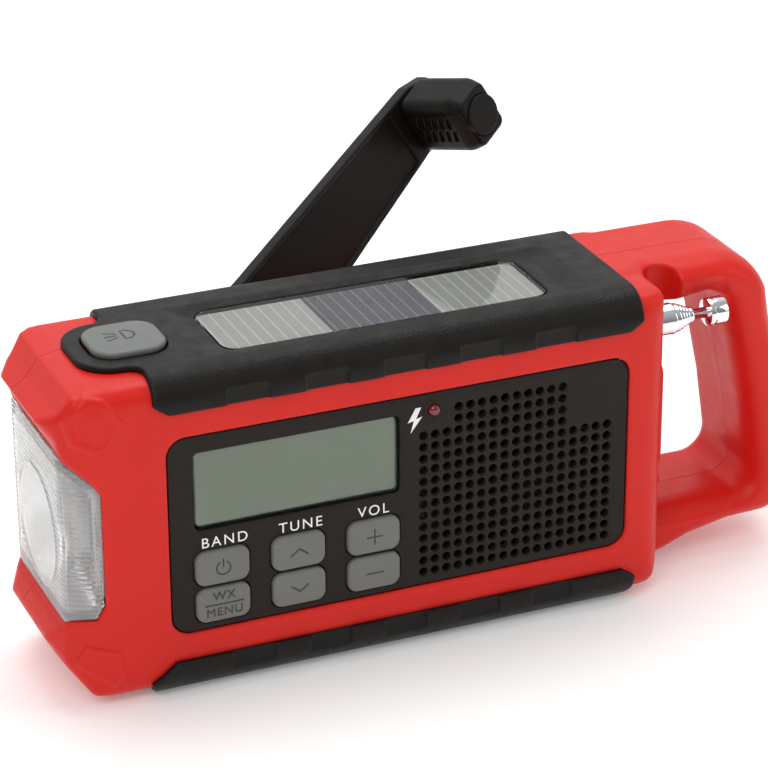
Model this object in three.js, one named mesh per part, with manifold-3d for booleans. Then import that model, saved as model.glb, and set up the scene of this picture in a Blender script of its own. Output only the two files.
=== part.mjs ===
// Hand-crank emergency radio with a lamp, a solar panel, a carrying handle and a telescopic aerial.
// Millimetres, +Z up. X runs from the lamp end (-) to the handle end (+), the front faces -Y.
// The origin is the centre of the flat underside of the bottom bumper.
import * as THREE from 'three';
import { mergeVertices } from 'three/addons/utils/BufferGeometryUtils.js';
import Module from 'manifold-3d';

const wasm = await Module();
wasm.setup();

// ---------- driving dimensions ----------
const GAP = 0.3;                     // clearance between pieces that meet
const WALL = 2.2;                    // thickness of the moulded housing
const BODY = {
  left: -87, right: 70, front: -22.3, back: 22.3, bottom: 1.2, top: 81.4, round: 7, rearRound: 3,
};
const SPLIT_Y = 5;                   // parting plane between the two housing halves
const SKIN = 1.2;                    // how far the black cover and bumper stand proud of the housing
const COVER = { half: 61.5, skirt: 73, tongue: -74, tongueHalf: 13 };
const BUMPER = { left: -64, right: 61, rim: 9.5 };
const NOTCH = { count: 5, first: -38.9, pitch: 19.3, wide: 10.5, tall: 4.3, deep: 0.45 };
const PANEL = { x0: -58.3, x1: 58.3, z0: 16.1, z1: 66.1, face: -21.3, thick: 2, round: 4.5 };
const LCD = { x0: -51.9, x1: -1.4, z0: 42.2, z1: 61.5 };
const KEY = { wide: 13.3, tall: 8.8, round: 2.5, columns: [-45.9, -27, -8], rows: [32, 22.4], proud: 1.1 };
const GRILLE = { x: 5, z: 19.3, pitch: 3, columns: 17, rows: 15, hole: 1.1 };
const STATUS_LED = { x: 7.5, z: 61.8, radius: 1.6 };
const SOLAR = { x0: -40.3, x1: 42.3, half: 12, depth: 1.2, round: 4 };
const LAMP = { z: 40.8, radius: 13.6 };
const LAMP_BUTTON = { x: -60.6, wide: 18, half: 8.4, round: 5.5, top: 84.2 };
const SPEAKER = { x: 29, z: 40, radius: 20 };
const AERIAL = { y: -14, z: 70.5, tip: 87.5, cap: 4.9, capRadius: 3.5, stowed: -8 };
const AERIAL_ENDS = [73.4, 74.8, 75.8, 76.7, 77.6, 78.8];    // where each nested tube ends, widest first
const AERIAL_WALL = 0.2;
const HANDLE = {
  front: -9.8, back: 22.3, frontRound: 8.3, frontInset: 3.9, backRound: 4.4, backInset: 3.6,
};
const CRANK = { x: -27.4, y: 26.2, z: 57.6, length: 92, thick: 3.6, hub: 13.6 };
const CRANK_TURN = 31;               // degrees the stored pose has turned the hub above +X
const CRANK_FOLD = 27.3;             // degrees the arm stands out from the rear wall
const STOW_TURN = -22;               // hub angle at which the knob drops into its pocket
const KNOB = { near: 2.2, far: 23.2, wide: 16.6, deep: 13, round: 3.4, pocket: 10.5 };
const GEAR = { tooth: 0.8, wheel: 36, pinion: 12 };
const BATTERY = { x0: -14, x1: 40, z0: 11, z1: 43, front: 8.5 };
const PORT = { y0: -13, y1: 6, z0: 24, z1: 58, face: 72.5 };
const rad = THREE.MathUtils.degToRad;

// ---------- outlines: lists of [u, v] points, counter-clockwise ----------
const arc = (u, v, r, from, to, steps = 4) => Array.from({ length: steps + 1 }, (_, i) => {
  const a = rad(from + (to - from) * i / steps);
  return [u + r * Math.cos(a), v + r * Math.sin(a)];
});

const roundRect = (u0, u1, v0, v1, r, steps = 3) => [
  ...arc(u1 - r, v0 + r, r, -90, 0, steps),
  ...arc(u1 - r, v1 - r, r, 0, 90, steps),
  ...arc(u0 + r, v1 - r, r, 90, 180, steps),
  ...arc(u0 + r, v0 + r, r, 180, 270, steps),
];

const circle = (u, v, r, sides = 24) => arc(u, v, r, 0, 360 - 360 / sides, sides - 1);

// The same outline moved inwards by a distance, corner by corner.
function inset(points, distance) {
  return points.map((p, i) => {
    const before = points[(i + points.length - 1) % points.length];
    const after = points[(i + 1) % points.length];
    const a = new THREE.Vector2(p[0] - before[0], p[1] - before[1]).normalize();
    const b = new THREE.Vector2(after[0] - p[0], after[1] - p[1]).normalize();
    const miter = new THREE.Vector2(-a.y - b.y, a.x + b.x).normalize();
    const reach = distance / Math.max(0.5, miter.x * -a.y + miter.y * a.x);
    return [p[0] + miter.x * reach, p[1] + miter.y * reach];
  });
}

// ---------- solids ----------
function solid(geometry) {
  const bare = geometry.clone();
  bare.deleteAttribute('normal');
  bare.deleteAttribute('uv');
  const merged = mergeVertices(bare, 1e-4);
  const triangles = [];
  for (let i = 0; i < merged.index.count; i += 3) {
    const [a, b, c] = [0, 1, 2].map((k) => merged.index.getX(i + k));
    if (a !== b && b !== c && c !== a) {
      triangles.push(a, b, c);
    }
  }
  return new wasm.Manifold(new wasm.Mesh({
    numProp: 3,
    vertProperties: new Float32Array(merged.attributes.position.array),
    triVerts: new Uint32Array(triangles),
  }));
}

const join = (...solids) => solids.reduce((a, b) => a.add(b));
const cut = (body, ...tools) => tools.reduce((a, b) => a.subtract(b), body);
const both = (...solids) => solids.reduce((a, b) => a.intersect(b));

function toGeometry(manifold) {
  const mesh = manifold.getMesh();
  const geometry = new THREE.BufferGeometry();
  geometry.setAttribute('position', new THREE.BufferAttribute(mesh.vertProperties, 3));
  geometry.setIndex(new THREE.BufferAttribute(mesh.triVerts, 1));
  geometry.computeVertexNormals();
  return geometry;
}

// An outline extruded along one axis: for 'x' it is drawn in (y, z), for 'y' in (x, z), for 'z' in (x, y).
function prism(axis, outline, from, to, options = {}) {
  const shape = new THREE.Shape(outline.map(([u, v]) => new THREE.Vector2(u, v)));
  for (const hole of options.holes ?? []) {
    shape.holes.push(new THREE.Path(hole.map(([u, v]) => new THREE.Vector2(u, v)).reverse()));
  }
  const bevel = options.bevel ?? 0;
  const geometry = new THREE.ExtrudeGeometry(shape, {
    depth: to - from - 2 * bevel,
    bevelEnabled: bevel > 0,
    bevelThickness: bevel,
    bevelSize: options.bevelSize ?? bevel,
    bevelOffset: -(options.bevelSize ?? bevel),
    bevelSegments: options.bevelSegments ?? 2,
  });
  geometry.translate(0, 0, bevel);
  if (axis === 'x') {
    geometry.applyMatrix4(new THREE.Matrix4().makeBasis(
      new THREE.Vector3(0, 1, 0), new THREE.Vector3(0, 0, 1), new THREE.Vector3(1, 0, 0)));
    geometry.translate(from, 0, 0);
  } else if (axis === 'y') {
    geometry.rotateX(Math.PI / 2);
    geometry.translate(0, to, 0);
  } else {
    geometry.translate(0, 0, from);
  }
  return solid(geometry);
}

const box = (x0, x1, y0, y1, z0, z1) => prism('z', [[x0, y0], [x1, y0], [x1, y1], [x0, y1]], z0, z1);

// A round bar along an axis; u and v are its centre in that axis's drawing plane.
const bar = (axis, u, v, r, from, to, sides = 24) => prism(axis, circle(u, v, r, sides), from, to);
const ring = (axis, u, v, r, bore, from, to, sides = 24) => prism(
  axis, circle(u, v, r, sides), from, to, { holes: [circle(u, v, bore, sides)] });

// A solid of revolution about an axis through (u, v); profile points are [radius, distance along the axis].
function turned(axis, u, v, profile, sides = 32) {
  const points = profile.map(([r, d]) => new THREE.Vector2(r, d));
  if (points[0].x > 0) {
    points.push(points[0].clone());
  }
  const geometry = new THREE.LatheGeometry(points, sides);
  if (axis === 'x') {
    geometry.rotateZ(-Math.PI / 2);
    geometry.translate(0, u, v);
  } else if (axis === 'y') {
    geometry.translate(u, 0, v);
  }
  const made = solid(geometry);
  return made.volume() < 0 ? solid(flip(geometry)) : made;
}

function flip(geometry) {
  const flipped = geometry.clone();
  const index = flipped.index.array;
  for (let i = 0; i < index.length; i += 3) {
    [index[i], index[i + 1]] = [index[i + 1], index[i]];
  }
  return flipped;
}

// ---------- materials ----------
const plastic = (color, roughness = 0.5) => new THREE.MeshStandardMaterial(
  { color, roughness, metalness: 0 });
const metal = (color, roughness = 0.3) => new THREE.MeshStandardMaterial({ color, roughness, metalness: 1 });
const RED = plastic(0xd8281f, 0.42);
const BLACK = plastic(0x2c2a28, 0.45);
const PANEL_BLACK = plastic(0x35302b, 0.6);
const KEY_GREY = plastic(0x6f706b, 0.6);
const CLEAR = new THREE.MeshStandardMaterial(
  { color: 0xf4f6f4, roughness: 0.08, metalness: 0, transparent: true, opacity: 0.35 });
const LCD_GREEN = plastic(0x808c7a, 0.3);
const SOLAR_BLUE = plastic(0x2d2b3c, 0.25);
const SOLAR_GREY = plastic(0x969992, 0.35);
const WHITE = plastic(0xe9e7e0, 0.5);
const BOARD_GREEN = plastic(0x2d6b3c, 0.5);
const CHROME = metal(0xd8dadb, 0.12);
const STEEL = metal(0xa9abad, 0.35);
const BRASS = metal(0xb8955a, 0.35);
const GREEN_WRAP = plastic(0x3d7a55, 0.5);

const radio = new THREE.Group();

function part(name, manifold, material, parent = radio) {
  const mesh = new THREE.Mesh(toGeometry(manifold), material);
  mesh.name = name;
  parent.add(mesh);
  return mesh;
}

// ---------- housing ----------
// Side view: the lamp end has an upper and a lower corner guard that reach past the lens between them.
const bodySide = [
  [-73, BODY.bottom],
  ...arc(BODY.right - 9, BODY.bottom + 9, 9, -90, 0, 4),
  ...arc(BODY.right - 5, BODY.top - 5, 5, 0, 90, 2),
  [-75, BODY.top],
  [-79.5, 80],
  [-82.5, 76],
  [-86.5, 73],
  [-84, 69],
  [-84, 22],
  [BODY.left, 17.5],
  [-84, 12.5],
  [-77.5, 3.5],
];
const bodyPlan = [
  [-76.5, BODY.front],
  ...arc(BODY.right - 8, BODY.front + 8, 8, -90, 0, 4),
  ...arc(BODY.right - 8, BODY.back - 8, 8, 0, 90, 4),
  [-76.5, BODY.back],
  [-83.5, 18.5],
  [BODY.left - 0.5, 13],
  [BODY.left - 0.5, -13],
  [-83.5, -18.5],
];
// End view, front to the left: the top edge is tight at the rear and well rounded at the front.
function endView(grow, steps) {
  const { front, back, bottom, top, round, rearRound } = BODY;
  return [
    ...arc(back - round, bottom + round, round + grow, -90, 0, steps),
    ...arc(back - rearRound, top - rearRound, rearRound + grow, 0, 90, steps - 1),
    ...arc(front + round, top - round, round + grow, 90, 180, steps),
    ...arc(front + round, bottom + round, round + grow, 180, 270, steps),
  ];
}

function bodyBlock(shrink) {
  return both(
    prism('y', inset(bodySide, shrink), BODY.front - 2, BODY.back + 2),
    prism('z', inset(bodyPlan, shrink), -2, BODY.top + 2),
    prism('x', inset(endView(0, 4), shrink), BODY.left - 2, BODY.right + 2),
  );
}

// The handle is a D whose two arms grow out of the body's end wall.
const handleOutline = [
  [64, BODY.bottom + 0.2],
  [71, BODY.bottom + 0.2],
  [77, 2.6],
  [84, 5.4],
  [95, 7.6],
  ...arc(103.6, 16.4, 8.6, -80, 0, 4),
  [112.1, 23],
  [110.6, 39.6],
  [108.3, 54],
  [105.4, 63.5],
  ...arc(88.5, BODY.top - 17, 17, 22, 90, 5),
  [50, BODY.top],
  [50, 70.6],
  [79, 70.6],
  ...arc(86.8, 65.6, 6, 90, 14, 4),
  [95.3, 55.8],
  [99, 38.5],
  ...arc(95.4, 22, 6, 8, -90, 5),
  [64, 15.8],
];

const handleMiddle = (HANDLE.front + HANDLE.back) / 2;
const handleBlock = join(
  both(
    prism('y', handleOutline, HANDLE.front, HANDLE.back,
      { bevel: HANDLE.frontRound, bevelSize: HANDLE.frontInset, bevelSegments: 3 }),
    box(40, 120, HANDLE.front - 1, handleMiddle, -5, 90)),
  both(
    prism('y', handleOutline, HANDLE.front, HANDLE.back,
      { bevel: HANDLE.backRound, bevelSize: HANDLE.backInset }),
    box(40, 120, handleMiddle, HANDLE.back + 1, -5, 90)));
const handleCore = cut(
  prism('y', inset(handleOutline, WALL + 1), HANDLE.front + 4, HANDLE.back - 4),
  box(40, BODY.right - 0.1, -30, 30, -5, 90));

// Side view of the opening that the lens fills, cut through both sides of the lamp end.
const lensOutline = (shrink) => inset([
  [-95, 22],
  [-83.8, 22],
  [-82, 23.6],
  [-76.5, 24],
  [-74.3, 27.5],
  [-74.3, 55.5],
  [-76.5, 59],
  [-82.3, 64.2],
  [-83.8, 69],
  [-95, 69],
], shrink);

function coverSection(proud, from, to) {
  return both(
    prism('x', endView(proud, 5), -90, 75),
    box(-90, 75, -40, 40, from, to),
  );
}

const buttonRect = (grow) => roundRect(
  LAMP_BUTTON.x - LAMP_BUTTON.wide / 2 - grow, LAMP_BUTTON.x + LAMP_BUTTON.wide / 2 + grow,
  -LAMP_BUTTON.half - grow, LAMP_BUTTON.half + grow, LAMP_BUTTON.round + grow);

// Case screws: x and z of each on the rear of the body and of the handle.
const SCREWS = [[-67, 11], [-66, 64.5], [56, 61.5]];
const HANDLE_SCREWS = [[105.2, 30]];
const SCREW_FACES = [
  ...SCREWS.map((p) => [...p, BODY.back]),
  ...HANDLE_SCREWS.map((p) => [...p, HANDLE.back]),
];

function housing() {
  const shell = cut(join(bodyBlock(0), handleBlock), bodyBlock(WALL), handleCore);
  const window = prism('y', roundRect(PANEL.x0 - GAP, PANEL.x1 + GAP, PANEL.z0 - GAP, PANEL.z1 + GAP,
    PANEL.round + GAP), -30, BODY.front + WALL + 1);
  const lensHole = prism('y', lensOutline(0), -30, 30);
  const solarHole = box(SOLAR.x0 - 2, SOLAR.x1 + 2, -SOLAR.half - 2, SOLAR.half + 2, 70, 90);
  const buttonHole = prism('z', buttonRect(0.8), 70, 90);
  const aerialHole = bar('x', AERIAL.y, AERIAL.z, 4.4, 60, 80);
  const fingerScoop = bar('z', 72.6, -9, 5, 66, 90, 20);
  const capScoop = turned('x', AERIAL.y + 1, AERIAL.z + 1, [
    [0, AERIAL.tip - 8], [4, AERIAL.tip - 6], [5.6, AERIAL.tip - 2.4], [5.6, AERIAL.tip + 1],
    [4, AERIAL.tip + 4], [0, AERIAL.tip + 5]], 20);
  const hubHole = bar('y', CRANK.x, CRANK.z, CRANK.hub + 0.5, 15, 30, 32);
  const stowX = CRANK.x + CRANK.length * Math.cos(rad(STOW_TURN));
  const stowZ = CRANK.z + CRANK.length * Math.sin(rad(STOW_TURN));
  const pocketCup = bar('y', stowX, stowZ, KNOB.pocket + 1.4, 0.5, 21, 28);
  const pocket = bar('y', stowX, stowZ, KNOB.pocket, 2, 30, 28);
  // Square lower corners, so that the door's edge can turn about its hinge line.
  const doorHole = join(
    prism('y', roundRect(BATTERY.x0, BATTERY.x1, BATTERY.z0, BATTERY.z1, 3), 15, 30),
    box(BATTERY.x0, BATTERY.x1, 15, 30, BATTERY.z0, BATTERY.z0 + 4));
  const portHole = box(60, 80, PORT.y0 + 1.5, PORT.y1 - 1.5, PORT.z0 + 1.5, PORT.z1 - 1.5);
  const portSeat = box(BODY.right - 0.1, 80, PORT.y0 - GAP, PORT.y1 + GAP, PORT.z0 - GAP, PORT.z1 + GAP);
  const posts = SCREWS.map(([x, z]) => bar(
    'y', x, z, 3.2, BODY.front + WALL - 0.6, BODY.back - WALL + 0.6, 16));
  const gripPosts = HANDLE_SCREWS.map(([x, z]) => bar('y', x, z, 3, HANDLE.front + 2, HANDLE.back - 1, 16));
  const screwBores = SCREW_FACES.map(([x, z, face]) => join(
      bar('y', x, z, 1.7, -8, face + 1, 12),
      bar('y', x, z, 3.05, face - 3.2, face + 1, 16)));
  const whole = cut(
    join(shell, pocketCup, ...posts, ...gripPosts),
    window, lensHole, solarHole, buttonHole, aerialHole, fingerScoop, capScoop,
    hubHole, pocket, doorHole, portHole, portSeat, ...screwBores);
  return whole;
}

const SEAM = 0.1;                    // half the gap between the two housing halves
const PAD = 0.6;                     // how far the corner pads stand proud

// Raised pads on the corner guards, front and rear.
function guardPads() {
  const upper = [
    [-81, 69], [-75.3, 66], [-71.8, 67.2], [-68.4, 73.1], [-72.6, 79], [-76.8, 80.4], [-82.4, 75]];
  const lower = [[-82.2, 13], [-73.2, 6], [-70.4, 8.6], [-71.2, 14.8], [-79.2, 18]];
  const pads = [upper, lower].flatMap((outline) => [
    prism('y', outline, BODY.front - PAD, BODY.front + BODY.round),
    prism('y', outline, BODY.back - BODY.round, BODY.back + PAD),
  ]);
  return cut(both(join(...pads), bodyBlock(-PAD)), bodyBlock(WALL / 2));
}

const body = join(housing(), cut(guardPads(), prism('y', lensOutline(0), -30, 30)));
part('front_shell', cut(body, box(-100, 130, SPLIT_Y - SEAM, 60, -10, 100)), RED);
part('rear_shell', cut(body, box(-100, 130, -60, SPLIT_Y + SEAM, -10, 100)), RED);

// ---------- top cover and bottom bumper ----------
function notches(z) {
  const tools = [];
  for (let i = 0; i < NOTCH.count; i += 1) {
    const x = NOTCH.first + i * NOTCH.pitch;
    for (const side of [-1, 1]) {
      const face = side * (BODY.back + SKIN);
      tools.push(box(x - NOTCH.wide / 2, x + NOTCH.wide / 2,
        Math.min(face, face - side * NOTCH.deep) - (side < 0 ? 1 : 0),
        Math.max(face, face - side * NOTCH.deep) + (side > 0 ? 1 : 0), z, z + NOTCH.tall));
    }
  }
  return tools;
}

function topCover() {
  const { half, skirt, tongue, tongueHalf } = COVER;
  const end = half - 3.6;
  const mainView = prism('y', [
    [-end, skirt], [end, skirt], [half, skirt + 2.6], [half, 90], [-half, 90], [-half, skirt + 2.6],
  ], -40, 40);
  const tongueView = prism('z', roundRect(tongue, 12 - half, -tongueHalf, tongueHalf, 9), 70, 90);
  const skin = cut(
    coverSection(SKIN, skirt, 90),
    coverSection(GAP, skirt - 5, 90));
  const window = prism('z', roundRect(SOLAR.x0, SOLAR.x1, -SOLAR.half, SOLAR.half, SOLAR.round), 70, 90);
  const button = prism('z', buttonRect(GAP), 70, 90);
  return cut(both(skin, join(mainView, tongueView)), window, button, ...notches(skirt));
}

part('top_cover', topCover(), BLACK);
part('bottom_bumper', cut(
  both(
    cut(coverSection(SKIN, -5, BUMPER.rim), coverSection(GAP, -5, BUMPER.rim + 5)),
    prism('y', [
      [BUMPER.left + 3, -5], [BUMPER.right - 3, -5], [BUMPER.right, 4], [BUMPER.right, BUMPER.rim - 2.4],
      [BUMPER.right - 3.4, BUMPER.rim], [BUMPER.left + 6, BUMPER.rim], [BUMPER.left, 4.6]], -40, 40),
  ),
  ...notches(BUMPER.rim - NOTCH.tall)), BLACK);

// ---------- front panel, display, keys ----------
const keyBlock = (x, z, grow, from, to) => prism('y', roundRect(
  x - KEY.wide / 2 - grow, x + KEY.wide / 2 + grow, z - KEY.tall / 2 - grow, z + KEY.tall / 2 + grow,
  KEY.round + grow), from, to);

function grilleHoles() {
  const holes = [];
  for (let row = 0; row < GRILLE.rows; row += 1) {
    for (let column = 0; column < GRILLE.columns; column += 1) {
      const underLed = column < 3 && row >= GRILLE.rows - 2;
      const underBadge = column >= GRILLE.columns - 4 && row >= GRILLE.rows - 4;
      if (!underLed && !underBadge) {
        holes.push(circle(GRILLE.x + column * GRILLE.pitch, GRILLE.z + row * GRILLE.pitch, GRILLE.hole, 6));
      }
    }
  }
  return holes;
}

const lcdOutline = (grow) => roundRect(
  LCD.x0 - grow, LCD.x1 + grow, LCD.z0 - grow, LCD.z1 + grow, 1.2 + grow, 2);
const PANEL_BACK = PANEL.face + PANEL.thick;
part('front_panel', cut(
  prism('y', roundRect(PANEL.x0, PANEL.x1, PANEL.z0, PANEL.z1, PANEL.round), PANEL.face, PANEL_BACK,
    { holes: grilleHoles() }),
  prism('y', lcdOutline(GAP), PANEL.face - 1, PANEL_BACK + 1),
  bar('y', STATUS_LED.x, STATUS_LED.z, STATUS_LED.radius + 0.2, PANEL.face - 1, PANEL_BACK + 1, 16),
  ...KEY.columns.flatMap((x) => KEY.rows.map((z) => keyBlock(x, z, 0.25, PANEL.face - 1, PANEL_BACK + 1)))),
PANEL_BLACK);
part('lcd_window', prism('y', lcdOutline(0), PANEL.face - 0.5, PANEL.face + 1), CLEAR);
part('lcd_module', prism('y', inset(lcdOutline(0), 0.6), PANEL.face + 1.3, PANEL_BACK + 2.2), LCD_GREEN);

const KEY_NAMES = [
  ['key_power', 'key_menu'],
  ['key_tune_up', 'key_tune_down'],
  ['key_volume_up', 'key_volume_down'],
];
KEY.columns.forEach((x, column) => KEY.rows.forEach((z, row) => {
  const cap = keyBlock(x, z, 0, PANEL.face - KEY.proud, PANEL_BACK + 1.1);
  const flange = box(x - KEY.wide / 2 - 0.9, x + KEY.wide / 2 + 0.9, PANEL_BACK + GAP, PANEL_BACK + 1.1,
    z - KEY.tall / 2 + 0.2, z + KEY.tall / 2 - 0.2);
  part(KEY_NAMES[column][row], join(cap, flange), KEY_GREY);
}));

const KEY_BOARD = PANEL_BACK + 3.4;
part('key_board', join(
  box(-55, -1, KEY_BOARD, KEY_BOARD + 1.4, 16.6, 38),
  ...KEY.columns.flatMap((x) => KEY.rows.map((z) => bar(
    'y', x, z, 2, KEY_BOARD - 0.9, KEY_BOARD + 0.5, 12)))),
BOARD_GREEN);
part('status_led', turned('y', STATUS_LED.x, STATUS_LED.z, [
  [0, PANEL_BACK + 2],
  [2.2, PANEL_BACK + 2],
  [2.2, PANEL_BACK + GAP],
  [STATUS_LED.radius, PANEL_BACK + GAP],
  [STATUS_LED.radius, PANEL.face - 0.2],
  [STATUS_LED.radius * 0.7, PANEL.face - 0.9],
  [0, PANEL.face - 1.2]], 16),
plastic(0xb01010, 0.2));

// ---------- solar module and lamp button ----------
const solarTop = BODY.top + SKIN - SOLAR.depth;
part('solar_tray', cut(
  prism('z', roundRect(SOLAR.x0 - 1.6, SOLAR.x1 + 1.6, -SOLAR.half - 1.6, SOLAR.half + 1.6, 3),
    solarTop - 4, solarTop - 0.1),
  prism('z', roundRect(SOLAR.x0 - 0.1, SOLAR.x1 + 0.1, -SOLAR.half, SOLAR.half, 1), solarTop - 2.2, 90)),
BLACK);
const solarSpan = SOLAR.x1 - SOLAR.x0 - 1;
['solar_cell_left', 'solar_cell_middle', 'solar_cell_right'].forEach((name, i) => {
  const x0 = SOLAR.x0 + 0.5 + i * solarSpan / 3;
  part(name, box(x0 + 0.2, x0 + solarSpan / 3 - 0.2, -SOLAR.half + 0.8, SOLAR.half - 0.8, solarTop - 2,
    solarTop - 1.4), i === 1 ? SOLAR_BLUE : SOLAR_GREY);
});
part('solar_window', prism('z', roundRect(
  SOLAR.x0 + 0.25, SOLAR.x1 - 0.25, -SOLAR.half + 0.25, SOLAR.half - 0.25, SOLAR.round - 0.25),
solarTop - 1.2, solarTop), CLEAR);

part('lamp_button', join(
  prism('z', buttonRect(0), BODY.top + 1.4, LAMP_BUTTON.top, { bevel: 0.6, bevelSegments: 1 }),
  prism('z', buttonRect(-2), 75.6, BODY.top + 2)), KEY_GREY);
part('lamp_switch', join(box(-66, -55, -5, 5, 70.5, 72), bar('z', LAMP_BUTTON.x, 0, 1.8, 71, 73.9, 12),
  box(-69, -52, -8, 8, 69, 70.6)), BOARD_GREEN);

// ---------- lamp ----------
const lensBlock = (shrink) => both(
  prism('y', lensOutline(GAP + shrink), -30, 30),
  bodyBlock(0.5 + shrink));
part('lamp_lens', cut(lensBlock(0), lensBlock(1.5), box(-77, -60, -19.8, 19.8, 27, 57)), CLEAR);
part('lamp_reflector', turned('x', 0, LAMP.z, [
  [LAMP.radius + 1, -80.6], [LAMP.radius + 1, -81.4], [LAMP.radius, -81.4], [12, -76.5], [7, -73],
  [3.2, -71.6], [3.2, -70.4], [7.6, -71.9], [13, -75.6]], 28), CHROME);
part('lamp_led', join(
  turned('x', 0, LAMP.z, [[0, -74.4], [1.6, -74.1], [2.6, -73], [2.6, -69.4], [0, -69.4]], 16),
  box(-69.8, -68.4, -8, 8, LAMP.z - 8, LAMP.z + 8)), WHITE);
part('lamp_bezel', cut(
  prism('x', roundRect(-18.6, 18.6, 26, 61, 3), -72.4, -71.2),
  bar('x', 0, LAMP.z, 11, -80, -60, 28)), WHITE);

// ---------- speaker ----------
const speakerRing = [PANEL_BACK + 0.6, PANEL_BACK + 2];
part('speaker_frame', turned('y', SPEAKER.x, SPEAKER.z, [
  [SPEAKER.radius, speakerRing[0]],
  [SPEAKER.radius - 1.6, speakerRing[0]],
  [SPEAKER.radius - 1.6, speakerRing[1]],
  [9, speakerRing[1] + 6],
  [9, speakerRing[1] + 7],
  [SPEAKER.radius, speakerRing[1] + 1]], 28), STEEL);
part('speaker_cone', turned('y', SPEAKER.x, SPEAKER.z, [
  [SPEAKER.radius - 2, speakerRing[0] + 0.3], [0, speakerRing[1] + 4.2], [0, speakerRing[1] + 4.8],
  [SPEAKER.radius - 2, speakerRing[0] + 1]], 28), plastic(0x26241f, 0.8));
part('speaker_magnet', bar(
  'y', SPEAKER.x, SPEAKER.z, 8.6, speakerRing[1] + 7.2, speakerRing[1] + 11, 20), STEEL);

// ---------- main board and sockets ----------
const SOCKET_Y = -5.2;
const SOCKETS = [56, 69.4];
part('main_board', cut(
  box(-48, SOCKETS[0] - 0.6, -4.6, -3, 10, 62),
  ...SCREWS.map(([x, z]) => bar('y', x, z, 3.8, -30, 30, 16))), BOARD_GREEN);
part('usb_socket', cut(
  box(...SOCKETS, SOCKET_Y - 4.5, SOCKET_Y + 4.5, 45.5, 53),
  box(60, 80, SOCKET_Y - 3.5, SOCKET_Y + 3.5, 47.5, 51)), STEEL);
part('phones_socket', cut(
  prism('x', circle(SOCKET_Y, 39.4, 3.6, 16), ...SOCKETS),
  bar('x', SOCKET_Y, 39.4, 1.8, 60, 80, 12)), PANEL_BLACK);
part('power_socket', cut(
  box(...SOCKETS, SOCKET_Y - 4.5, SOCKET_Y + 4.5, 27, 34),
  bar('x', SOCKET_Y, 30.5, 2.4, 60, 80, 12)), PANEL_BLACK);
part('port_door', cut(
  prism('x', roundRect(PORT.y0, PORT.y1, PORT.z0, PORT.z1, 3), BODY.right + 0.1, PORT.face),
  bar('x', PORT.y0 + 0.4, 29, 2.4, 60, 80, 16)), RED);

// ---------- aerial ----------
const AERIAL_SLIDE = 0.2;             // radial gap between one tube and the next
const aerialTube = (index) => {
  const outer = AERIAL.capRadius + 0.3 - index * (AERIAL_WALL + AERIAL_SLIDE);
  return ring('x', AERIAL.y, AERIAL.z, outer, outer - AERIAL_WALL, AERIAL.stowed + index * 1.2,
    AERIAL_ENDS[index]);
};
AERIAL_ENDS.forEach((_, i) => part(`aerial_tube_${i + 1}`, aerialTube(i), CHROME));
part('aerial_rod', bar('x', AERIAL.y, AERIAL.z, 1.35, AERIAL.stowed + 8, AERIAL.tip - AERIAL.cap - 0.1, 16),
  CHROME);
part('aerial_cap', turned('x', AERIAL.y, AERIAL.z, [
  [0, AERIAL.tip - AERIAL.cap],
  [AERIAL.capRadius, AERIAL.tip - AERIAL.cap],
  [AERIAL.capRadius, AERIAL.tip - 0.4],
  [AERIAL.capRadius - 0.4, AERIAL.tip],
  [0, AERIAL.tip]]), CHROME);
part('aerial_sleeve', ring('x', AERIAL.y, AERIAL.z, 5.2, 4.15, AERIAL.stowed - 2, 63), BRASS);

// ---------- generator ----------
// Straight-flanked teeth, thinner than the gaps they run in.
function gear(x, z, teeth, from, to, phase) {
  const pitch = teeth * GEAR.tooth / 2;
  const outline = [];
  for (let i = 0; i < teeth; i += 1) {
    const middle = 360 * i / teeth + phase;
    const step = 360 / teeth;
    for (const [share, height] of [[-0.3, -1.15], [-0.1, 0.75], [0.1, 0.75], [0.3, -1.15]]) {
      const a = rad(middle + share * step);
      const r = pitch + height * GEAR.tooth;
      outline.push([x + r * Math.cos(a), z + r * Math.sin(a)]);
    }
  }
  return prism('y', outline, from, to);
}

const CENTRES = GEAR.tooth * (GEAR.wheel + GEAR.pinion) / 2;
const second = { x: CRANK.x - CENTRES, z: CRANK.z };
const ROTOR_TURN = 255;              // direction from the second shaft to the rotor shaft
const rotor = {
  x: second.x + CENTRES * Math.cos(rad(ROTOR_TURN)),
  z: second.z + CENTRES * Math.sin(rad(ROTOR_TURN)),
};
// A gap of one wheel faces a tooth of the other along the line of centres.
const halfTooth = (teeth) => 180 / teeth;
part('crank_gear', cut(
  gear(CRANK.x, CRANK.z, GEAR.wheel, 14, 17, 180 + halfTooth(GEAR.wheel)),
  bar('y', CRANK.x, CRANK.z, 2.6, 0, 30, 16)), WHITE);
part('step_gear', join(
  gear(second.x, second.z, GEAR.pinion, 13.4, 17.6, 0),
  gear(second.x, second.z, GEAR.wheel, 9.4, 13, ROTOR_TURN + halfTooth(GEAR.wheel)),
  bar('y', second.x, second.z, 2.2, 6.2, 19, 16)), WHITE);
part('rotor_pinion', join(
  gear(rotor.x, rotor.z, GEAR.pinion, 9, 13.4, ROTOR_TURN + 180),
  bar('y', rotor.x, rotor.z, 1.5, 0.2, 9.5, 12)), BRASS);
part('generator_case', cut(
  bar('y', rotor.x, rotor.z, 12, -1.6, 7.8, 24),
  bar('y', rotor.x, rotor.z, 1.9, -0.2, 20, 12)), STEEL);
part('gear_plate', cut(
  prism('y', roundRect(second.x - 16, CRANK.x + 12, rotor.z - 6, CRANK.z + 10, 4), 4.4, 6),
  bar('y', rotor.x, rotor.z, 12.4, 0, 20, 24)), STEEL);

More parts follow.
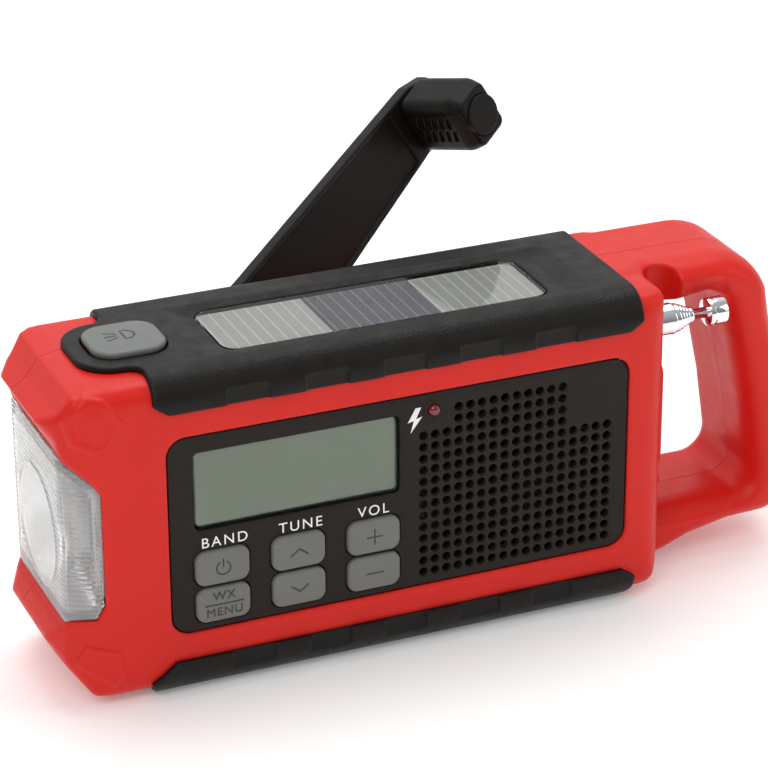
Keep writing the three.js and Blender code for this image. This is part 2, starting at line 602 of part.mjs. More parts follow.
// ---------- crank ----------
// In a crank frame u runs along the arm from the hinge, h along the hinge pin, and the third
// direction from the arm to the knob's end.
const turn = rad(CRANK_TURN);

function crankFrame(foldDegrees) {
  const fold = rad(foldDegrees);
  const u = new THREE.Vector3(
    Math.cos(fold) * Math.cos(turn), Math.sin(fold), Math.cos(fold) * Math.sin(turn));
  const h = new THREE.Vector3(-Math.sin(turn), 0, Math.cos(turn));
  const frame = new THREE.Group();
  frame.quaternion.setFromRotationMatrix(new THREE.Matrix4().makeBasis(u, h, u.clone().cross(h)));
  frame.position.set(CRANK.x, CRANK.y, CRANK.z);
  radio.add(frame);
  return frame;
}

const PIN = 1.45;
const EAR = { from: 10.7, to: 13.3, half: 2.7 };
const hubFace = CRANK.y - 23.3;
const hubFrame = crankFrame(0);
part('crank_hub', cut(
  join(
    bar('z', 0, 0, CRANK.hub, hubFace, hubFace + 3.8, 32),
    bar('z', 0, 0, 2.3, hubFace + 3, CRANK.y - 7, 16),
    ...[-1, 1].map((side) => prism('y', roundRect(-EAR.half, EAR.half, -EAR.half, hubFace + 0.6, 2.4),
      side > 0 ? EAR.from : -EAR.to, side > 0 ? EAR.to : -EAR.from)),
  ),
  bar('y', 0, 0, PIN + 0.15, -20, 20, 16)), BLACK, hubFrame);
part('crank_hinge_pin', bar('y', 0, 0, PIN, -EAR.to + 0.2, EAR.to - 0.2, 16), STEEL, hubFrame);

const armFrame = crankFrame(CRANK_FOLD);
const NECK = EAR.from - GAP;
const ARM = { half: 12.6, end: 8.8, tip: 6.4, neck: 13 };
const armOutline = (shrink) => inset([
  [0, -NECK],
  [ARM.neck, -NECK],
  [ARM.neck + 4, -ARM.half],
  [CRANK.length, -ARM.end],
  [CRANK.length + 7, -ARM.tip],
  [CRANK.length + 9.6, -3],
  [CRANK.length + 9.6, 3],
  [CRANK.length + 7, ARM.tip],
  [CRANK.length, ARM.end],
  [ARM.neck + 4, ARM.half],
  [ARM.neck, NECK],
  [0, NECK],
], shrink);
const armTrough = both(
  prism('z', armOutline(2.2), -CRANK.thick, -CRANK.thick / 2 + 1.2),
  box(ARM.neck + 2, CRANK.length - 9.4, -20, 20, -10, 10));
part('crank_arm', cut(
  join(
    prism('z', armOutline(0), -CRANK.thick / 2, CRANK.thick / 2, { bevel: 0.6, bevelSegments: 1 }),
    bar('y', 0, 0, 2.4, -NECK, NECK, 16)),
  armTrough,
  bar('y', 0, 0, PIN + 0.25, -20, 20, 16),
  bar('z', CRANK.length, 0, 2.3, -10, 10, 16),
  bar('z', CRANK.length, 0, 4.4, -10, -CRANK.thick / 2 + 1, 20)), BLACK, armFrame);
part('knob_pin', join(
  bar('z', CRANK.length, 0, 2, -CRANK.thick / 2 + 0.4, 14, 16),
  bar('z', CRANK.length, 0, 4.1, -CRANK.thick / 2 - 0.2, -CRANK.thick / 2 + 0.8, 20)), STEEL, armFrame);

const knobSection = roundRect(
  CRANK.length - KNOB.deep / 2, CRANK.length + KNOB.deep / 2, -KNOB.wide / 2, KNOB.wide / 2, KNOB.round);
part('crank_knob', cut(
  join(
    prism('z', knobSection, KNOB.near, KNOB.far - 1.4, { bevel: 0.9, bevelSegments: 1 }),
    bar('z', CRANK.length, 0, 4.7, KNOB.far - 2, KNOB.far, 20)),
  bar('z', CRANK.length, 0, 2.1, 0, 14.2, 16)), BLACK, armFrame);

// ---------- battery ----------
part('battery_tray', cut(
  box(BATTERY.x0 - 1.2, BATTERY.x1 + 1.2, BATTERY.front, BODY.back - WALL - 0.1,
    BATTERY.z0 - 1, BATTERY.z1 + 1),
  box(BATTERY.x0, BATTERY.x1, BATTERY.front + 1, 30, BATTERY.z0 + 0.2, BATTERY.z1 - 0.2)), BLACK);
const CELL = { radius: 5.1, pitch: 10.5, length: 44.5, y: 14.8 };
const cellX = (BATTERY.x0 + BATTERY.x1 - CELL.length) / 2;
const cellZ = (BATTERY.z0 + BATTERY.z1) / 2;
part('battery_pack', join(
  ...[-1, 0, 1].map((i) => bar(
    'x', CELL.y, cellZ + i * CELL.pitch, CELL.radius, cellX, cellX + CELL.length, 20)),
  box(cellX, cellX + CELL.length, CELL.y - 2.4, CELL.y + 2.4, cellZ - CELL.pitch, cellZ + CELL.pitch)),
GREEN_WRAP);
part('battery_door', cut(
  prism('y', inset(roundRect(BATTERY.x0, BATTERY.x1, BATTERY.z0, BATTERY.z1, 3), GAP), 20.6, 22),
  box(10, 16, 21.5, 30, BATTERY.z1 - 7, BATTERY.z1 - 2.5)), RED);

// ---------- screws ----------
const screwAt = (x, z, face) => cut(
  join(
    bar('y', x, z, 2.8, face - 3, face - 1.4, 16),
    bar('y', x, z, 1.45, -7, face - 2.4, 12)),
  box(x - 1.8, x + 1.8, face - 2.2, face, z - 0.35, z + 0.35),
  box(x - 0.35, x + 0.35, face - 2.2, face, z - 1.8, z + 1.8));
SCREW_FACES.forEach(([x, z, face], i) => part(`case_screw_${i + 1}`, screwAt(x, z, face), STEEL));

export default radio;
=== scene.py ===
"""Looks of the hand-crank emergency radio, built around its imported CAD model.

Shapes are worked out in millimetres in the row frame and written to meshes in metres.
"""
import math

import bpy
import bmesh
import numpy as np
from mathutils import Matrix, Vector


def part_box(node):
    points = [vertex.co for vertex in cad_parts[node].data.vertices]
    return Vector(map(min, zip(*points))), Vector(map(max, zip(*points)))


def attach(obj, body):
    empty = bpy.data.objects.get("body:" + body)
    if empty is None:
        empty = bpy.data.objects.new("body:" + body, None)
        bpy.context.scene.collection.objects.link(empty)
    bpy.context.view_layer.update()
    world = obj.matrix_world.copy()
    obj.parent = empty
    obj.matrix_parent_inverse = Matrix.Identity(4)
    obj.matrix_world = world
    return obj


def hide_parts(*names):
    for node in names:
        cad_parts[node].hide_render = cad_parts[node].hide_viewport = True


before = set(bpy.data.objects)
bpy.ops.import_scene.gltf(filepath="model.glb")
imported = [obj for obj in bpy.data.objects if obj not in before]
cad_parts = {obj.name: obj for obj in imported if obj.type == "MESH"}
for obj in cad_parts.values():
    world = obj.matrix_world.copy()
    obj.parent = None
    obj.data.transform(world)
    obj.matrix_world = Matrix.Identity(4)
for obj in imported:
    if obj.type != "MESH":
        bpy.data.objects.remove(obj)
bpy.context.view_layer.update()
MM = 0.001

# ---------- dimensions, in millimetres ----------
FRONT, BACK = -22.3, 22.3
BOTTOM, TOP = 1.2, 81.4
SPLIT_Y = 5.0
SEAM = 0.1
WALL = 2.2
SKIN = 1.2
ROUND, REAR_ROUND = 7, 3                # edge radii of the body, and of its rear top edge
LAMP_Z = 40.8
AERIAL_Y, AERIAL_Z = -14.0, 70.5
PANEL_FACE = -21.3
CRANK = Vector((-27.4, 26.2, 57.6))
CRANK_TURN = math.radians(31)
CRANK_FOLD = math.radians(27.3)
ARM_LENGTH = 92.0
POCKET = (57.9, 23.14)
SCREWS = [(-67, 11, BACK), (-66, 64.5, BACK), (56, 61.5, BACK), (105.2, 30, BACK)]
BATTERY = (-14, 40, 11, 43)
PORT = (-13, 6, 24, 58)
PORT_FACE = 72.5
GRIP_FRONT = -9.8                       # the handle's front, and where its rounding starts
GRIP_FOLD = -1.5
STATUS_LED = (7.5, 61.8)
LCD_BOX = (-51.9, -1.4, 42.2, 61.5)
SOLAR_BOX = (-40.3, 42.3, -12, 12)
KEY_WIDE, KEY_TALL, KEY_PROUD = 13.3, 8.8, 1.1
KEY_COLUMNS, KEY_ROWS = (-45.9, -27, -8), (32, 22.4)
KNOB_POCKET_RADIUS = 10.5
RAISED = 0.12                           # how thick printed marks stand
PAD_RISE = 0.6
BUTTON_X, BUTTON_TOP = -60.6, 84.2


# ---------- outlines ----------
def arc(u, v, r, start, end, steps=8):
    angles = np.radians(np.linspace(start, end, steps + 1))
    return [(u + r * math.cos(a), v + r * math.sin(a)) for a in angles]


def round_rect(u0, u1, v0, v1, r, steps=6):
    return [
        *arc(u1 - r, v0 + r, r, -90, 0, steps),
        *arc(u1 - r, v1 - r, r, 0, 90, steps),
        *arc(u0 + r, v1 - r, r, 90, 180, steps),
        *arc(u0 + r, v0 + r, r, 180, 270, steps),
    ]


def circle(u, v, r, sides=24):
    return arc(u, v, r, 0, 360 - 360 / sides, sides - 1)


BODY_SIDE = [
    (-73, BOTTOM), *arc(61, 10.2, 9, -90, 0), *arc(65, 76.4, 5, 0, 90), (-75, TOP), (-79.5, 80), (-82.5, 76),
    (-86.5, 73), (-84, 69), (-84, 22), (-87, 17.5), (-84, 12.5), (-77.5, 3.5)]
BODY_PLAN = [
    (-76.5, FRONT), *arc(62, FRONT + 8, 8, -90, 0), *arc(62, BACK - 8, 8, 0, 90), (-76.5, BACK),
    (-83.5, 18.5), (-87.5, 13), (-87.5, -13), (-83.5, -18.5)]
HANDLE = [
    (60, 1.4), (71, 1.4), (77, 2.6), (84, 5.4), (95, 7.6), *arc(103.6, 16.4, 8.6, -80, 0), (112.1, 23),
    (110.6, 39.6), (108.3, 54), (105.4, 63.5), *arc(88.5, 64.4, 17, 22, 90), (40, TOP), (40, 70.6),
    (79, 70.6),
    *arc(86.8, 65.6, 6, 90, 14), (95.3, 55.8), (99, 38.5), *arc(95.4, 22, 6, 8, -90), (60, 15.8)]
LENS = [
    (-95, 22), (-83.8, 22), (-82, 23.6), (-76.5, 24), (-74.3, 27.5), (-74.3, 55.5), (-76.5, 59),
    (-82.3, 64.2),
    (-83.8, 69), (-95, 69)]
PAD_UPPER = [(-81, 69), (-75.3, 66), (-71.8, 67.2), (-68.4, 73.1), (-72.6, 79), (-76.8, 80.4), (-82.4, 75)]
PAD_LOWER = [(-82.2, 13), (-73.2, 6), (-70.4, 8.6), (-71.2, 14.8), (-79.2, 18)]


# ---------- distance fields, negative inside ----------
def polygon(u, v, points):
    u, v = np.broadcast_arrays(u, v)
    best = np.full(u.shape, 1e9)
    inside = np.zeros(u.shape, bool)
    for (ax, ay), (bx, by) in zip(points, points[1:] + points[:1]):
        ex, ey = bx - ax, by - ay
        wx, wy = u - ax, v - ay
        t = np.clip((wx * ex + wy * ey) / (ex * ex + ey * ey), 0, 1)
        best = np.minimum(best, (wx - ex * t) ** 2 + (wy - ey * t) ** 2)
        if ay != by:
            inside ^= ((v < ay) != (v < by)) & (u < ex * (v - ay) / ey + ax)
    return np.where(inside, -1, 1) * np.sqrt(best)


def rect(u, v, u0, u1, v0, v1, r):
    p = np.abs(u - (u0 + u1) / 2) - (u1 - u0) / 2 + r
    q = np.abs(v - (v0 + v1) / 2) - (v1 - v0) / 2 + r
    return np.hypot(np.maximum(p, 0), np.maximum(q, 0)) + np.minimum(np.maximum(p, q), 0) - r


def end_view(y, z, grow):
    """The body seen from its end: well rounded all round but for a tight upper edge at the rear."""
    high = smooth((z - 60) / 4) * (y > 0)
    edges = (FRONT - grow, BACK + grow, BOTTOM - grow, TOP + grow)
    soft = rect(y, z, *edges, ROUND + grow)
    tight = rect(y, z, *edges, REAR_ROUND + grow)
    return soft + (tight - soft) * high


def slab(w, w0, w1):
    return np.abs(w - (w0 + w1) / 2) - (w1 - w0) / 2


def disc(u, v, cu, cv, r):
    return np.hypot(u - cu, v - cv) - r


def meet(r, *fields):
    """What lies in every field, with its edges rounded to radius r."""
    out = fields[0]
    for field in fields[1:]:
        a, b = out + r, field + r
        out = np.minimum(np.maximum(a, b), 0) + np.hypot(np.maximum(a, 0), np.maximum(b, 0)) - r
    return out


def carve(r, field, *tools):
    for tool in tools:
        field = meet(r, field, -tool)
    return field


def fuse(r, *fields):
    return -meet(r, *[-f for f in fields])


def smooth(t):
    t = np.clip(t, 0, 1)
    return t * t * (3 - 2 * t)


def surface(field, low, high, step):
    """The zero surface of a field as vertices in millimetres and quads, by surface nets."""
    low, high = np.array(low, float), np.array(high, float)
    step = np.ones(3) * step
    count = np.ceil((high - low) / step).astype(int) + 1
    axes = [low[i] + step[i] * np.arange(count[i]) for i in range(3)]
    grid = (axes[0][:, None, None], axes[1][None, :, None], axes[2][None, None, :])
    values = np.broadcast_to(field(*grid), count).astype(np.float32)
    inside = values < 0
    corners = [(i, j, k) for i in (0, 1) for j in (0, 1) for k in (0, 1)]
    window = [inside[i:count[0] - 1 + i, j:count[1] - 1 + j, k:count[2] - 1 + k] for i, j, k in corners]
    active = np.logical_or.reduce(window) & ~np.logical_and.reduce(window)
    cells = np.argwhere(active)
    total, hits = np.zeros((len(cells), 3)), np.zeros(len(cells))
    for a in corners:
        for axis in range(3):
            if a[axis]:
                continue
            b = list(a)
            b[axis] = 1
            ca, cb = cells + a, cells + b
            fa, fb = values[tuple(ca.T)], values[tuple(cb.T)]
            crossing = (fa < 0) != (fb < 0)
            t = np.where(crossing, fa / np.where(crossing, fa - fb, 1), 0)
            point = ca.astype(float)
            point[:, axis] += t
            total[crossing] += point[crossing]
            hits += crossing
    points = low + step * total / hits[:, None]
    number = np.full(count - 1, -1, np.int64)
    number[tuple(cells.T)] = np.arange(len(cells))
    quads = []
    for axis in range(3):
        a, b = (axis + 1) % 3, (axis + 2) % 3
        first = np.take(inside, range(count[axis] - 1), axis)
        second = np.take(inside, range(1, count[axis]), axis)
        edges = np.argwhere(first != second)
        edges = edges[(edges[:, a] > 0) & (edges[:, b] > 0)]
        edges = edges[(edges[:, a] < count[a] - 1) & (edges[:, b] < count[b] - 1)]
        outward = first[tuple(edges.T)]
        ring = []
        for da, db in ((-1, -1), (0, -1), (0, 0), (-1, 0)):
            cell = edges.copy()
            cell[:, a] += da
            cell[:, b] += db
            ring.append(number[tuple(cell.T)])
        ring = np.stack(ring, 1)
        ring[~outward] = ring[~outward][:, ::-1]
        quads.append(ring)
    reach = 0.7 * step.min()
    for _ in range(2):
        e = 0.02
        here = field(*points.T)
        slope = np.stack([
            (field(*(points + e * np.eye(3)[i]).T) - field(*(points - e * np.eye(3)[i]).T)) / (2 * e)
            for i in range(3)], 1)
        move = (-here / np.maximum((slope ** 2).sum(1), 0.2))[:, None] * slope
        length = np.linalg.norm(move, axis=1, keepdims=True)
        points = points + move * np.minimum(1, reach / np.maximum(length, 1e-9))
    return points, np.concatenate(quads)


# ---------- meshes ----------
def mesh_object(name, points, faces, matrix=None):
    """An object from millimetre points; matrix places a local millimetre frame in the row frame."""
    points = np.asarray(points, float)
    if matrix is not None:
        m = np.array(matrix, float)
        points = points @ m[:3, :3].T + m[:3, 3]
    mesh = bpy.data.meshes.new(name)
    mesh.from_pydata((points * MM).tolist(), [], [list(map(int, f)) for f in faces])
    mesh.validate()
    mesh.shade_smooth()
    made = bpy.data.objects.new(name, mesh)
    bpy.context.scene.collection.objects.link(made)
    return made


def half(made, plane_y, keep_front):
    """Cuts an object at a plane across Y and closes the cut."""
    mesh = bmesh.new()
    mesh.from_mesh(made.data)
    cut = bmesh.ops.bisect_plane(
        mesh, geom=[*mesh.verts, *mesh.edges, *mesh.faces], plane_co=(0, plane_y * MM, 0), plane_no=(0, 1, 0),
        clear_outer=keep_front, clear_inner=not keep_front)
    edges = [g for g in cut["geom_cut"] if isinstance(g, bmesh.types.BMEdge)]
    made_faces = bmesh.ops.triangle_fill(mesh, use_beauty=True, edges=edges)
    caps = [g for g in made_faces["geom"] if isinstance(g, bmesh.types.BMFace)]
    for face in caps:
        face.smooth = False
    bmesh.ops.recalc_face_normals(mesh, faces=mesh.faces)
    for edge in edges:
        edge.smooth = False
    mesh.to_mesh(made.data)
    mesh.free()
    return made


def turned(profile, sides=64):
    """Points and faces of a solid turned about local Z, its profile from pole to pole or closed on itself."""
    points, faces, rings = [], [], []
    for r, d in profile:
        if r < 1e-6:
            rings.append([len(points)])
            points.append((0, 0, d))
        else:
            rings.append(list(range(len(points), len(points) + sides)))
            points += [(r * math.cos(2 * math.pi * i / sides), r * math.sin(2 * math.pi * i / sides), d)
                       for i in range(sides)]
    pairs = list(zip(rings, rings[1:]))
    if profile[0][0] > 1e-6:
        pairs.append((rings[-1], rings[0]))
    for a, b in pairs:
        for i in range(sides):
            j = (i + 1) % sides
            if len(a) == 1 and len(b) > 1:
                faces.append((a[0], b[j], b[i]))
            elif len(b) == 1 and len(a) > 1:
                faces.append((a[i], a[j], b[0]))
            elif len(a) > 1:
                faces.append((a[i], a[j], b[j], b[i]))
    return points, faces


def plate(name, outline, holes, thickness, bevel, matrix):
    """A flat plate with holes and rounded edges, drawn in local X, Y, its top at local Z 0."""
    curve = bpy.data.curves.new(name, "CURVE")
    curve.dimensions = "2D"
    curve.fill_mode = "BOTH"
    curve.extrude = thickness / 2 - bevel
    curve.bevel_depth = bevel
    curve.bevel_resolution = 2
    curve.offset = -bevel
    for loop in [outline, *holes]:
        spline = curve.splines.new("POLY")
        spline.points.add(len(loop) - 1)
        for point, (u, v) in zip(spline.points, loop):
            point.co = (u, v, 0, 1)
        spline.use_cyclic_u = True
    return from_curve(name, curve, thickness / 2, matrix)


def lettering(name, text, size, middle, matrix, spacing=1.12):
    """Raised lettering centred on a local point."""
    curve = bpy.data.curves.new(name, "FONT")
    curve.body = text
    curve.size = size
    curve.align_x = "CENTER"
    curve.align_y = "CENTER"
    curve.space_character = spacing
    curve.extrude = RAISED / 2
    return from_curve(name, curve, 0, matrix @ Matrix.Translation((*middle, 0)))


def from_curve(name, curve, drop, matrix):
    source = bpy.data.objects.new(name + "_curve", curve)
    bpy.context.scene.collection.objects.link(source)
    graph = bpy.context.evaluated_depsgraph_get()
    mesh = bpy.data.meshes.new_from_object(source.evaluated_get(graph))
    mesh.name = name
    bpy.data.objects.remove(source)
    mesh.transform(Matrix.Translation((0, 0, -drop)))
    mesh.transform(matrix)
    mesh.transform(Matrix.Scale(MM, 4))
    cleaned = bmesh.new()
    cleaned.from_mesh(mesh)
    bmesh.ops.remove_doubles(cleaned, verts=cleaned.verts, dist=1e-6)
    bmesh.ops.recalc_face_normals(cleaned, faces=cleaned.faces)
    cleaned.to_mesh(mesh)
    cleaned.free()
    mesh.shade_smooth()
    made = bpy.data.objects.new(name, mesh)
    bpy.context.scene.collection.objects.link(made)
    crease(made)
    return made


def crease(made, degrees=35):
    """Marks sharp edges, so that flats stay flat under smooth shading."""
    mesh = bmesh.new()
    mesh.from_mesh(made.data)
    for edge in mesh.edges:
        if len(edge.link_faces) == 2 and edge.calc_face_angle(0) > math.radians(degrees):
            edge.smooth = False
    mesh.to_mesh(made.data)
    mesh.free()
    return made


def basis(x, y, z, origin):
    m = Matrix.Identity(4)
    for i, axis in enumerate((x, y, z)):
        for row in range(3):
            m[row][i] = axis[row]
    for row in range(3):
        m[row][3] = origin[row]
    return m


FRONT_PLANE = basis((1, 0, 0), (0, 0, 1), (0, -1, 0), (0, PANEL_FACE, 0))
ALONG_X = basis((0, 1, 0), (0, 0, 1), (1, 0, 0), (0, 0, 0))
ALONG_Y = basis((0, 0, 1), (1, 0, 0), (0, 1, 0), (0, 0, 0))


# ---------- materials ----------
def material(name, color, roughness, metallic=0.0, tint=0.06, grain=(900, 0.00002, 0.2), coat=0.0, wear=0.0,
             spread=0.06, transmission=0.0, ior=1.5, stripes=None, gloss=0.5):
    """A plastic, metal or clear finish with mottled colour, uneven gloss, surface grain and worn edges.

    grain is (noise scale, bump depth in metres, strength); stripes is (pitch, width, colour), in metres
    along X.
    """
    made = bpy.data.materials.new(name)
    made.use_nodes = True
    nodes, links = made.node_tree.nodes, made.node_tree.links
    nodes.clear()
    out = nodes.new("ShaderNodeOutputMaterial")
    shader = nodes.new("ShaderNodeBsdfPrincipled")
    links.new(shader.outputs["BSDF"], out.inputs["Surface"])
    place = nodes.new("ShaderNodeTexCoord").outputs["Object"]

    def noise(scale, detail=3.0):
        node = nodes.new("ShaderNodeTexNoise")
        node.inputs["Scale"].default_value = scale
        node.inputs["Detail"].default_value = detail
        links.new(place, node.inputs["Vector"])
        return node.outputs["Fac"]

    def mix(factor, low, high):
        node = nodes.new("ShaderNodeMix")
        node.data_type = "RGBA"
        links.new(factor, node.inputs["Factor"])
        color_a, color_b = node.inputs[6], node.inputs[7]
        for socket, value in ((color_a, low), (color_b, high)):
            if isinstance(value, tuple):
                socket.default_value = (*value, 1)
            else:
                links.new(value, socket)
        return node.outputs[2]

    def span(source, low, high, from_low=0.3, from_high=0.7):
        node = nodes.new("ShaderNodeMapRange")
        links.new(source, node.inputs["Value"])
        limits = (("From Min", from_low), ("From Max", from_high), ("To Min", low), ("To Max", high))
        for key, value in limits:
            node.inputs[key].default_value = value
        return node.outputs["Result"]

    dark = tuple(c * (1 - tint) for c in color)
    light = tuple(min(1.0, c * (1 + tint) + 0.004 * tint) for c in color)
    base = mix(noise(60, 4.0), dark, light)
    if stripes:
        pitch, width, line = stripes
        split = nodes.new("ShaderNodeSeparateXYZ")
        links.new(place, split.inputs[0])
        wave = nodes.new("ShaderNodeMath")
        wave.operation = "PINGPONG"
        links.new(split.outputs["X"], wave.inputs[0])
        wave.inputs[1].default_value = pitch / 2
        edge = span(wave.outputs[0], 1, 0, width * 0.5, width * 0.8)
        base = mix(edge, base, line)
    if wear:
        geometry = nodes.new("ShaderNodeNewGeometry")
        worn = span(geometry.outputs["Pointiness"], 0, wear, 0.515, 0.58)
        base = mix(worn, base, tuple(min(1, c * 1.25 + 0.06) for c in color))
    links.new(base, shader.inputs["Base Color"])
    links.new(span(noise(240), roughness - spread, roughness + spread), shader.inputs["Roughness"])
    shader.inputs["Metallic"].default_value = metallic
    shader.inputs["Coat Weight"].default_value = coat
    shader.inputs["Coat Roughness"].default_value = 0.12
    shader.inputs["Transmission Weight"].default_value = transmission
    shader.inputs["IOR"].default_value = ior
    shader.inputs["Specular IOR Level"].default_value = gloss
    scale, depth, strength = grain
    bump = nodes.new("ShaderNodeBump")
    bump.inputs["Strength"].default_value = strength
    bump.inputs["Distance"].default_value = depth
    links.new(noise(scale, 2.0), bump.inputs["Height"])
    links.new(bump.outputs["Normal"], shader.inputs["Normal"])
    return made


RED = material("red_plastic", (0.65, 0.0145, 0.0085), 0.40, wear=0.2, grain=(2600, 0.00001, 0.25), gloss=0.26)
BLACK = material("black_plastic", (0.0080, 0.0068, 0.0055), 0.44, wear=0.12, grain=(1400, 0.00016, 0.8),
                 spread=0.08, gloss=0.2)
SMOOTH_BLACK = material("smooth_black", (0.0080, 0.0068, 0.0055), 0.42, wear=0.12, grain=(2200, 0.00003, 0.3),
                        gloss=0.14)
PANEL = material("panel_black", (0.021, 0.0165, 0.0135), 0.5, wear=0.12, grain=(3000, 0.00002, 0.3),
                 gloss=0.12)
KEY = material("key_grey", (0.165, 0.165, 0.150), 0.55, wear=0.3, grain=(2600, 0.00002, 0.3), gloss=0.3)
BUTTON = material("button_grey", (0.145, 0.155, 0.145), 0.48, wear=0.3, grain=(2200, 0.00002, 0.3))
PRINT = material("white_print", (0.86, 0.88, 0.88), 0.5)
SYMBOL = material("key_symbol", (0.035, 0.036, 0.034), 0.6)
CLEAR = material("clear_plastic", (0.985, 0.99, 0.99), 0.12, transmission=0.8, ior=1.3, spread=0.04,
                 tint=0.01)
REFLECTOR = material("reflector", (0.9, 0.9, 0.9), 0.3, metallic=1.0, grain=(600, 0.000005, 0.1))
WINDOW = material("clear_window", (0.97, 0.98, 0.97), 0.02, transmission=1.0, ior=1.2, spread=0.01,
                  tint=0.01, gloss=0.1, grain=(40, 0.000001, 0.0))
LCD = material("lcd_glass", (0.215, 0.255, 0.195), 0.4, tint=0.02, grain=(40, 0.000001, 0.0))
CELL_GREY = material("solar_grey", (0.29, 0.295, 0.275), 0.4, gloss=0.12,
                     stripes=(0.003, 0.0004, (0.42, 0.43, 0.41)))
CELL_BLUE = material("solar_blue", (0.018, 0.017, 0.029), 0.35, gloss=0.1,
                     stripes=(0.0029, 0.00035, (0.12, 0.115, 0.16)))
CHROME = material("chrome", (0.82, 0.83, 0.85), 0.08, metallic=1.0, grain=(1800, 0.000005, 0.15), spread=0.04)
STEEL = material("steel", (0.48, 0.49, 0.50), 0.32, metallic=1.0)
BRASS = material("brass", (0.58, 0.42, 0.18), 0.35, metallic=1.0)
WHITE = material("white_plastic", (0.80, 0.79, 0.77), 0.45)
BOARD = material("board_green", (0.03, 0.14, 0.05), 0.45)
WRAP = material("green_wrap", (0.04, 0.2, 0.08), 0.35)
LED = material("led_red", (0.16, 0.008, 0.008), 0.12, coat=0.6)
LED_WHITE = material("led_dome", (0.9, 0.86, 0.55), 0.2, coat=0.5)


def finish_piece(made, finish, body, slot, *nodes):
    made.data.materials.clear()
    made.data.materials.append(finish)
    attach(made, body)
    if nodes:
        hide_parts(*nodes)
    return made


def sculpt(name, field, low, high, step, matrix=None):
    return mesh_object(name, *surface(field, low, high, step), matrix)


# ---------- housing ----------
def block(x, y, z):
    side = polygon(x, z, BODY_SIDE)
    plan = polygon(x, y, BODY_PLAN)
    section = end_view(y, z, 0)
    return side, plan, section


def housing(x, y, z):
    side, plan, section = block(x, y, z)
    outer = meet(1.5, side, plan, section)
    ring_view = polygon(x, z, HANDLE)
    across = np.clip((GRIP_FOLD - y) / (GRIP_FOLD - GRIP_FRONT), 0, 1)
    rounded = 5.2 * (1 - np.sqrt(1 - across ** 2))
    grip = np.maximum(meet(4.4, ring_view, y - BACK), meet(0.5, ring_view + rounded, GRIP_FRONT - y))
    finger = meet(1.5, disc(x, y, 72.6, -9.6, 5.2), slab(z, 60, 80.5))
    cap = meet(2.5, disc(y, z, AERIAL_Y + 1.2, AERIAL_Z + 1.2, 5.4), slab(x, 81.2, 91.5))
    outer = fuse(2.2, outer, carve(1.6, grip, finger, cap))
    outer = carve(1.2, outer, meet(1.5, disc(x, y, 72.6, -9.6, 5.2), slab(z, 60, 80.5), slab(x, 70.6, 90)))
    outer = np.maximum(outer, np.maximum(z - TOP, y - BACK))
    for pad in (PAD_UPPER, PAD_LOWER):
        outline = polygon(x, z, pad)
        rise = PAD_RISE * (1 - 0.75 * smooth((-outline - 0.8) / 1.8))
        outer = np.minimum(outer, meet(0.35, outline, outer - rise, 12 - np.abs(y)))
    hollow = np.maximum(np.maximum(side, plan), section) + WALL
    outer = carve(0.2, outer, hollow)
    cup = meet(0.3, disc(x, z, *POCKET, KNOB_POCKET_RADIUS + 1.4), slab(y, 0.5, 21))
    outer = np.minimum(outer, cup)
    outer = carve(0.9, outer, meet(0.5, rect(x, z, -58.6, 58.6, 15.8, 66.4, 4.8), y + 18))
    outer = carve(0.9, outer, polygon(x, z, LENS))
    y0, y1, z0, z1 = PORT
    tools = [
        meet(1, rect(x, y, -48, 54, -15, 15, 2), 70 - z),
        meet(1, rect(x, y, -70.4, -50.8, -9.2, 9.2, 6.3), 70 - z),
        meet(0.2, disc(y, z, AERIAL_Y, AERIAL_Z, 4.3), slab(x, 60, 80)),
        meet(0.2, disc(x, z, CRANK.x, CRANK.z, 14.1), 15 - y),
        meet(0.4, disc(x, z, *POCKET, KNOB_POCKET_RADIUS), 2 - y),
        np.minimum(
            meet(0.2, rect(x, z, *BATTERY, 3), 15 - y),
            meet(0.2, rect(x, z, BATTERY[0], BATTERY[1], BATTERY[2], BATTERY[2] + 6, 0.2), 15 - y)),
        meet(0.2, rect(y, z, y0 - 0.3, y1 + 0.3, z0 - 0.3, z1 + 0.3, 3), slab(x, 69.9, 80)),
        meet(0.2, rect(y, z, y0 + 1.5, y1 - 1.5, z0 + 1.5, z1 - 1.5, 1), slab(x, 60, 80)),
    ]
    outer = carve(0.35, outer, *tools)
    for sx, sz, face in SCREWS:
        outer = carve(0.3, outer, meet(0.2, disc(x, z, sx, sz, 3.1), slab(y, face - 3.2, face + 6)))
    return outer


HOUSING_STEP = 0.55
points, faces = surface(housing, (-89, -24.2, 0), (114, 24.2, 83), HOUSING_STEP)
for name, plane, front in (("front_shell", SPLIT_Y - SEAM, True), ("rear_shell", SPLIT_Y + SEAM, False)):
    shell = half(mesh_object(name + "_skin", points, faces), plane, front)
    finish_piece(shell, RED, "housing", "red_plastic", name)


# ---------- top cover and bottom bumper ----------
NOTCHES = [-38.9 + 19.3 * i for i in range(5)]


def notched(field, x, y, z, z0, z1, depth):
    for middle in NOTCHES:
        below = BACK + SKIN - depth - np.abs(y)
        pocket = meet(0.3, slab(x, middle - 5.25, middle + 5.25), slab(z, z0, z1), below)
        field = carve(0.25, field, pocket)
    return field


